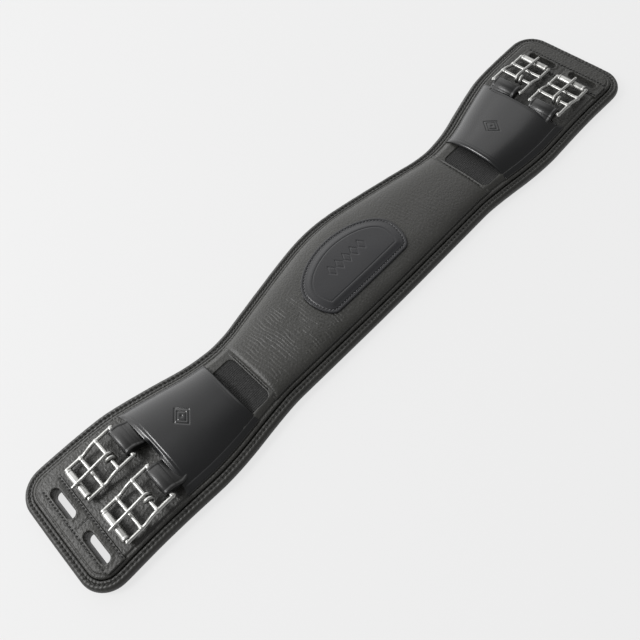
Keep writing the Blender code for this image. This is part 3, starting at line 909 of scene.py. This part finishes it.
def add_patch():
    loop, middle = patch_loop()
    share = np.linspace(0, 1, PATCH_ROWS) ** 1.25
    flat = middle + (1 - share)[:, None, None] * (loop - middle)[None]
    places = flat.reshape(-1, 2)
    distance = loop_distance(places, loop).reshape(PATCH_ROWS, PATCH_RAYS)
    distance[0] = 0.0
    x, y = flat[..., 0], flat[..., 1]
    base = overlay_z(places).reshape(PATCH_ROWS, PATCH_RAYS)
    edge = 0.0014 - rounded(distance, 0.0007)
    seam = 0.0006 * bell(distance, PATCH_SEAM_INSET, 0.0006)
    pillow = 0.0008 * smoothstep(distance, 0.0036, 0.0095)
    line = 0.00025 * bell(distance, PATCH_LINE_INSET, 0.00045)
    for k in range(-2, 3):
        centre = (PATCH_MIDDLE.x + LOZENGE_SPACING * k, PATCH_MIDDLE.y + 0.0015)
        line = line + 0.0004 * lozenge(x, y, centre, 0.0034, 0.0056, 0.14)
    soft = 0.00012 * bumpy(x, y, 0.018, 0.018, 7.7)
    upper = spots(x, y, base + edge - seam + pillow - line + soft)
    lower = spots(x, y, base - 0.0006)
    patch = grid_mesh(np.concatenate((lower[:1], upper)), wrap_cols=True)
    patch[1].append(list(range(PATCH_RAYS))[::-1])
    add_piece("badge_leather", patch, PATCH, "pad", "badge_patch")

    def height(p):
        dip = 0.0001 * bell(loop_distance(p, loop), PATCH_SEAM_INSET, 0.0006)
        return overlay_z(p) + 0.0012 - dip

    path = loop + PATCH_SEAM_INSET * inward_normals(loop)
    thread = stitches_on(path, height, 0.003, 0.0021, 0.00052, closed=True)
    add_piece("badge_stitches", thread, PATCH_THREAD, "pad")


# Elastic bands, and the leather that frames them

ELASTIC_RIB = 0.0017
WINDOW_LENGTH = 0.034
WINDOW_CORNER = 0.0055
WINDOW_FOOT = FOOT_INSET + 0.0007


def overlay_end(end):
    return OVERLAY_X[0 if ENDS[end] < 0 else 1]


def add_elastic(end):
    low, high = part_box(f"elastic_{end}")
    x = np.linspace(low.x, high.x, 130)[:, None]
    y = np.linspace(low.y - 0.0016, high.y + 0.0006, 271)
    rib = math.pi * (y - low.y) / ELASTIC_RIB
    ribs = 0.00022 * np.abs(np.sin(rib)) ** 0.7
    weave = 0.00005 * np.cos(TURN * x / 0.0016) * np.cos(rib)
    soft = 0.0001 * bumpy(x, y, 0.02, 0.012, 2.9)
    sides = np.minimum(y - y[0], y[-1] - y)
    upper = spots(x, y, high.z - 0.00025 + ribs + weave + soft - rounded(sides, 0.0006))
    lower = spots(x, y, low.z + 0.0002)
    name = f"elastic_band_{end}"
    band = add_piece(name, shell(upper, lower), ELASTIC, None, f"elastic_{end}")
    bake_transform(band)


def window_trim(end, side):
    """Leather beside the elastic, with a round corner where it meets the overlay's end."""
    sign = ENDS[end]
    inner = sign * overlay_end(end)
    low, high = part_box(f"elastic_{end}")
    limit = high.y - 0.0008 if side > 0 else low.y - 0.0004
    xs = np.linspace(inner - 0.004, inner + WINDOW_LENGTH, 60)
    far = edge_y(sign * xs, WINDOW_FOOT, side)
    past = np.clip(WINDOW_CORNER - (xs - inner - 0.0002), 0, WINDOW_CORNER)
    bend = WINDOW_CORNER - np.sqrt(WINDOW_CORNER**2 - past**2)
    near = limit - side * np.where(xs < inner, WINDOW_CORNER, bend)
    there, back = spots(sign * xs, far), spots(sign * xs, near)
    loop = evenly(counter_clockwise(np.concatenate((there, back[::-1]))), 150)

    def top(p):
        from_groove = side * (edge_y(p[:, 0], WINDOW_FOOT, side) - p[:, 1])
        climb = smoothstep(from_groove, -0.001, 0.0048)
        pleat = 0.00022 * bumpy(*p.T, 0.0035, 0.01, 3.3) * climb
        height = climb * (ELASTIC_Z - STRAP_FLOOR + 0.0008)
        return STRAP_FLOOR - 0.0001 + height + pleat - rounded(loop_distance(p, loop), 0.0006)

    def bottom(p):
        return np.minimum(top(p) - 0.0004, STRAP_FLOOR - 0.0004)

    return panel(loop, [], (0.00015, 0.0004, 0.0008), ((0.0012, *WHOLE),), top, bottom)


def add_window_trim(end):
    trim = join_parts([window_trim(end, 1), window_trim(end, -1)])
    add_piece(f"window_trim_{end}", trim, GRAIN, "pad", "centre_overlay")


# Flaps

FLAP_ROWS = 190
FLAP_COLS = 200
FLAP_LOWER_MARGIN = 0.11


def flap_section(share):
    """Share of the crown's height at a share across, from -1 to 1.

    The lower side ends in a sloping foot.
    """
    across = np.where(share < 0, share / (1 - FLAP_LOWER_MARGIN), share)
    arch = np.clip(1 - np.abs(np.clip(across, -1, 1)) ** 2.4, 0, 1) ** (1 / 1.8)
    foot = np.minimum(0.07 + 1.4 * (share + 1), 0.23)
    foot = foot * np.sqrt(np.clip((share + 1) / 0.02, 0, 1))
    return np.where(share < 0, np.maximum(arch, foot), arch)


def generic_mark(x, y, centre):
    """Two plain lozenges with a dot, pressed into the leather."""
    dot = bell(np.hypot(x - centre[0], y - centre[1]), 0.0, 0.0011)
    outer = lozenge(x, y, centre, 0.0075, 0.0095, 0.085)
    return outer + lozenge(x, y, centre, 0.00465, 0.0059, 0.12) + dot


def add_flap(end, sign):
    name = f"flap_{end}"
    low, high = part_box(name)
    inner = min(abs(low.x), abs(high.x))
    outer = max(abs(low.x), abs(high.x)) - 0.004
    u = np.linspace(0, 1, FLAP_ROWS)[:, None]
    u = np.where(u < 0.5, 0.5 * (2 * u) ** 1.25, 1 - 0.5 * (2 - 2 * u) ** 1.25)
    share = np.linspace(-1, 1, FLAP_COLS)
    across = np.sign(share) * (1 - (1 - np.abs(share)) ** 1.3)
    reach = np.where(across > 0, 0.0042, 0.0044) * across**4
    xs = inner + u * (outer - inner) + reach * u**2
    ys = overlay_y(sign * xs, across)
    from_inner = xs - inner
    from_outer = outer + reach - xs
    crown = np.broadcast_to(flap_section(across), ys.shape)
    step = 1 - np.clip(from_inner / 0.0036, 0, 1)
    inner_end = 0.66 + 0.34 * np.clip(1 - step**2.2, 0, 1) ** (1 / 2.2)
    chapes = [JOINTS[f"buckle_hinge_{end}_{row}"]["pos_m"][1] for row in ROWS]
    over_chape = sum(1 - smoothstep(np.abs(ys - y), 0.0105, 0.0185) for y in chapes)
    drop = 0.3 - 0.17 * over_chape
    border = 1 - drop * (1 - smoothstep(from_outer, -0.0008, 0.0034))
    height = (FLAP_TOP - STRAP_FLOOR) * crown * inner_end * border
    soft = 0.0003 * bumpy(xs * sign, ys, 0.04, 0.03, 5.5) * crown
    presses = 0.00022 * bell(from_outer, 0.0046, 0.0007)
    presses = presses + 0.00014 * bell(from_inner, 0.0044, 0.0006)
    presses = presses * smoothstep(crown, 0.5, 0.85)
    centre = (sign * (inner + outer) / 2 - 0.004, 0.0)
    mark = 0.00045 * generic_mark(xs * sign, ys, centre)
    grid = spots(sign * xs, ys, STRAP_FLOOR + height)
    normals = grid_normals(grid)
    grid = grid + normals * (soft - presses - mark)[..., None]
    under = grid - normals * 0.0014
    under[..., 2] = np.maximum(under[..., 2], STRAP_FLOOR)
    sheet = shell(grid, under)
    add_piece(f"flap_leather_{end}", sheet, SMOOTH, f"{end}_end", name, 70)


# Buckles: each lies along X from its hinge in the chape, at 0, and steps down to its roller

RAIL_HALF = 0.016
RAIL_RADIUS = 0.0016
RAIL_TAIL = 0.0025
HINGE_OUT = 0.0145
MIDDLE_OUT = 0.0315
ROLLER_OUT = 0.0445
BEND = (0.017, 0.03)
FRAME_DROP = 0.004
CLEARANCE = 0.0003
HINGE_RADIUS = 0.0017
BARS = ((0.0, 0.0015), (HINGE_OUT, HINGE_RADIUS), (MIDDLE_OUT, 0.0017), (ROLLER_OUT, 0.0014))
ROLLER_RADIUS = 0.00325
ROLLER_HALF = 0.0141
ROLLER_SIDES = 64
# The roller's section at one end, from its bore out, as (below its radius, in from its end)
ROLLER_LIP = (
    *((0.00155, 0.0002), (0.00135, 0.0), (0.0005, 0.0), (0.00015, 0.00015)),
    *((0.0, 0.0005), (0.0, 0.0018), (0.00018, 0.0021), (0.00005, 0.0026)),
)
PRONG_RADIUS = 0.0014
PRONG_TURNS = 1.5
PRONG_PITCH = 0.0042
PRONG_OFFSET = 0.001
DOME_STEPS = (0.35, 0.65, 0.88, 0.985)


def tube(path, radii, sides=20):
    """A round wire along a path, with domed ends."""
    radii = np.broadcast_to(radii, len(path))
    domes = []
    for end, inward in ((0, 1), (-1, -1)):
        way = path[end] - path[end + inward]
        way /= np.linalg.norm(way)
        tip, size = path[end], radii[end]
        domes.append([(tip + way * size * t, size * math.sqrt(1 - t * t)) for t in DOME_STEPS])
    rings = domes[0][::-1] + list(zip(path, radii)) + domes[1]
    centres = np.array([centre for centre, _ in rings])
    tangent = np.gradient(centres, axis=0)
    tangent /= np.linalg.norm(tangent, axis=1)[:, None]
    side = np.cross(tangent[0], UP)
    angle = TURN * np.arange(sides) / sides
    grid = []
    for (centre, size), way in zip(rings, tangent):
        side = side - way * (side @ way)
        side /= np.linalg.norm(side)
        up = np.cross(way, side)
        round_it = np.cos(angle)[:, None] * side + np.sin(angle)[:, None] * up
        grid.append(centre + size * round_it)
    return wire_mesh(np.array(grid))


def rail_drop(out):
    return -FRAME_DROP * smoothstep(out, *BEND)


def cross_bar(out, radius):
    """A bar between the rails that flares where it meets them."""
    ys = np.linspace(-RAIL_HALF, RAIL_HALF, 41)
    flare = np.clip((np.abs(ys) - (RAIL_HALF - 0.0034)) / 0.0018, 0, 1) ** 2 * 0.00045
    return tube(spots(out, ys, rail_drop(out)), radius + flare)


def frame_parts():
    outs = np.linspace(-RAIL_TAIL + RAIL_RADIUS, ROLLER_OUT + 0.0006, 56)
    swell = 0.00012 * sum(bell(outs, at, 0.002) for at in (HINGE_OUT, MIDDLE_OUT, ROLLER_OUT))
    rails = [spots(outs, side * RAIL_HALF, rail_drop(outs)) for side in (-1, 1)]
    parts = [tube(rail, RAIL_RADIUS + swell) for rail in rails]
    return join_parts(parts + [cross_bar(*bar) for bar in BARS])


def roller_parts():
    """A rolled tube with round lips and a faint seam along it."""
    section = [(ROLLER_RADIUS - below, ROLLER_HALF - back) for below, back in ROLLER_LIP]
    section += [(radius, -y) for radius, y in section[::-1]]
    angle = TURN * np.arange(ROLLER_SIDES) / ROLLER_SIDES
    seam = 0.00018 * bell(np.abs(angle - math.pi), 0.0, 0.07)
    rings = []
    for radius, y in section:
        size = radius - (seam if radius > 0.0025 else 0.0)
        rings.append(spots(size * np.cos(angle), y, size * np.sin(angle)))
    return grid_mesh(np.array(rings), True, True)


def prong_parts(side):
    """A wire wound round the hinge bar, then out over the roller with a slight wave."""
    coil = HINGE_RADIUS + CLEARANCE + PRONG_RADIUS
    turns = np.linspace(PRONG_TURNS, 0, 64)
    angle = math.pi / 2 + TURN * turns
    aside = side * (PRONG_OFFSET + PRONG_PITCH * turns)
    wound = spots(coil * np.cos(angle), aside, coil * np.sin(angle))
    reach = ROLLER_OUT - HINGE_OUT
    rest = -FRAME_DROP + ROLLER_RADIUS + CLEARANCE + PRONG_RADIUS
    knots = (
        (0.0, coil),
        (0.003, coil - 0.0001),
        (0.5 * reach, coil + (rest - coil) * 0.55),
        (0.85 * reach, rest - 0.0001),
        (reach, rest + 0.0001),
        (reach + 0.004, rest - 0.0005),
    )
    outs = np.linspace(0.0006, knots[-1][0], 46)
    heights = np.interp(outs, *zip(*knots))
    window = np.hanning(9) / np.hanning(9).sum()
    heights = np.convolve(np.pad(heights, 4, mode="edge"), window, mode="valid")
    straight = spots(outs, side * PRONG_OFFSET, heights)
    path = np.concatenate((wound, straight))
    taper = np.full(len(path), PRONG_RADIUS)
    taper[-8:] -= np.linspace(0, 0.00025, 8)
    return tube(path, taper)


# A chape's section as (distance out from the hinge, height), clockwise: over the bar, then under
CHAPE_SECTION = (
    *((-0.0262, -0.0033), (-0.019, -0.0031), (-0.014, -0.0028), (-0.011, -0.0016)),
    *((-0.0088, 0.0002), (-0.0066, 0.0022), (-0.0042, 0.0037), (-0.0012, 0.0042)),
    *((0.002, 0.0038), (0.0039, 0.0018), (0.0042, -0.001), (0.0028, -0.0032)),
    *((0.0000, -0.0042), (-0.0034, -0.005), (-0.007, -0.006), (-0.011, -0.0063)),
    *((-0.019, -0.0063), (-0.0262, -0.0063)),
)
CHAPE_HALF = 0.013
CHAPE_PRESS_OUT = -0.0078

# Its edge as (distance in from the side, how far the section shrinks): soft, with a pressed line
CHAPE_EDGE = (
    *((0.0, 0.0009), (0.0001, 0.0005), (0.0004, 0.0002), (0.0009, 0.0)),
    *((0.0024, 0.0), (0.0028, 0.0002), (0.0032, 0.0)),
)


def chape_parts():
    """A folded strap: its section swept across."""
    loop = smooth_loop(np.array(CHAPE_SECTION), 150)
    inward = -inward_normals(loop)
    offsets = [(-CHAPE_HALF + y, inset) for y, inset in CHAPE_EDGE]
    offsets = offsets + [(-y, inset) for y, inset in offsets[::-1]]
    narrow = 1 - 0.4 * smoothstep(-loop[:, 0], 0.012, 0.025)
    rings = []
    for y, inset in offsets:
        ring = loop + inset * inward
        press = 0.00022 * bell(ring[:, 0], CHAPE_PRESS_OUT, 0.0004) * (ring[:, 1] > -0.001)
        rings.append(spots(ring[:, 0], y * narrow, ring[:, 1] - press))
    return strap_mesh(np.array(rings))


def placed(shape, shift, pivot, sign):
    """A mesh moved by shift along the buckle, turned to point outwards and put at the pivot."""
    return (shape[0] + shift) * (sign, sign, 1) + pivot, shape[1]


def add_buckles():
    frame_mesh, roller_mesh, chape_mesh = frame_parts(), roller_parts(), chape_parts()
    for end, sign in ENDS.items():
        parts = (
            ("frame", "buckle", frame_mesh, (0, 0, 0)),
            ("roller", "roller", roller_mesh, (ROLLER_OUT, 0, -FRAME_DROP)),
            ("prong", "prong", prong_parts(-sign), (HINGE_OUT, 0, 0)),
        )
        for row in ROWS:
            tag = f"{end}_{row}"
            pivot = np.array(JOINTS[f"buckle_hinge_{tag}"]["pos_m"])
            for name, body, mesh, shift in parts:
                shape = placed(mesh, shift, pivot, sign)
                node_name = f"buckle_{name}_{tag}"
                body = f"{body}_{tag}"
                add_piece(f"{name}_{tag}", shape, STEEL, body, node_name)
            shape = placed(chape_mesh, (0, 0, 0), pivot, sign)
            name = f"chape_strap_{tag}"
            add_piece(name, shape, CHAPE, f"{end}_end", f"chape_{tag}")


# Webbing

WEBBING_WEAVE = 0.0045


def add_webbing():
    low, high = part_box("core_webbing")
    x = np.linspace(low.x, high.x, 120)[:, None]
    y = np.linspace(low.y, high.y, 90)
    weave = 0.00012 * np.sin(TURN * x / WEBBING_WEAVE) * np.sin(TURN * y / WEBBING_WEAVE)
    upper = spots(x, y, high.z - 0.0002 + weave)
    lower = spots(x, y, low.z)
    add_piece("webbing_strap", shell(upper, lower), WEBBING, "pad", "core_webbing")


# Studio

FLOOR_Z = -0.0003
FLOOR_REACH = 6.0
FLOOR_GLOW = 0.745
WORLD_AXIS = Vector((0.05, 1.0, 0.02)).normalized()
WORLD_GLOW = (0.3, 3.3)
BACKDROP_GLOW = 0.85
LIGHTS = (
    ("key_light", (-0.9, 0.58, 0.98), 0.5, 13.0),
    ("top_light", (0.98, 0.57, 1.13), 0.8, 1.2),
)
CAMERA_PLACE = (-0.1941, -0.2306, 0.4775)
CAMERA_TURNS = ((-0.5609854, "Z"), (0.494959, "X"), (-0.2568122, "Z"))
CAMERA_LENS = 35.31


def add_object(name, data):
    obj = bpy.data.objects.new(name, data)
    bpy.context.scene.collection.objects.link(obj)
    return obj


def add_floor():
    mesh = bpy.data.meshes.new("studio_floor")
    corners = ((-1, -1), (1, -1), (1, 1), (-1, 1))
    points = [(FLOOR_REACH * x, FLOOR_REACH * y, FLOOR_Z) for x, y in corners]
    mesh.from_pydata(points, [], [(0, 1, 2, 3)])
    paper, tree, shader, _ = new_material("studio_paper", (0.5, 0.5, 0.5), 0.9)
    shader.inputs["Emission Color"].default_value = (1.0, 1.0, 1.0, 1.0)
    shader.inputs["Emission Strength"].default_value = FLOOR_GLOW
    grain = node(tree, "ShaderNodeTexNoise", Scale=6.0, Detail=3.0).outputs["Fac"]
    colour = mixed_colour(tree, grain, (0.075, 0.075, 0.0755), (0.08, 0.08, 0.0803))
    tree.links.new(colour, shader.inputs["Base Color"])
    mesh.materials.append(paper)
    add_object("studio_floor", mesh)


def add_world():
    """Light that grows towards WORLD_AXIS. The camera sees an even pale backdrop instead."""
    world = bpy.data.worlds.new("studio_world")
    bpy.context.scene.world = world
    world.use_nodes = True
    tree = world.node_tree
    place = node(tree, "ShaderNodeTexCoord").outputs["Generated"]
    facing = operation(tree, "ShaderNodeVectorMath", "DOT_PRODUCT", place, WORLD_AXIS)["Value"]
    share = mapped(tree, facing, 0.0, 1.0, -0.4, 1.0)
    cubed = operation(tree, "ShaderNodeMath", "POWER", share, 3.0)["Value"]
    seen = node(tree, "ShaderNodeMix", B=BACKDROP_GLOW)
    camera_ray = node(tree, "ShaderNodeLightPath").outputs["Is Camera Ray"]
    tree.links.new(camera_ray, seen.inputs["Factor"])
    tree.links.new(mapped(tree, cubed, *WORLD_GLOW, 0.0, 1.0), seen.inputs["A"])
    background = tree.nodes["Background"]
    tree.links.new(seen.outputs["Result"], background.inputs["Strength"])
    background.inputs["Color"].default_value = (1.0, 1.0, 1.0, 1.0)


def add_studio():
    add_floor()
    add_world()
    for name, place, size, energy in LIGHTS:
        lamp = bpy.data.lights.new(name, "AREA")
        lamp.shape = "DISK"
        lamp.size = size
        lamp.energy = energy
        obj = add_object(name, lamp)
        obj.location = place
        obj.rotation_euler = (-Vector(place)).to_track_quat("-Z", "Y").to_euler()
    camera = bpy.data.cameras.new("camera")
    camera.sensor_width = 36.0
    camera.lens = CAMERA_LENS
    camera.clip_start = 0.01
    obj = add_object("camera", camera)
    obj.matrix_world = Matrix.Translation(CAMERA_PLACE)
    for angle, axis in CAMERA_TURNS:
        obj.matrix_world = obj.matrix_world @ Matrix.Rotation(angle, 4, axis)
    bpy.context.scene.camera = obj
    bpy.context.scene.view_settings.view_transform = "Standard"


add_rolled_edge()
add_lining()
add_foam()
add_cover()
add_webbing()
add_padding()
add_overlay()
add_patch()
for end, sign in ENDS.items():
    add_strip(end, sign)
    add_elastic(end)
    add_window_trim(end)
    add_flap(end, sign)
add_buckles()
add_studio()
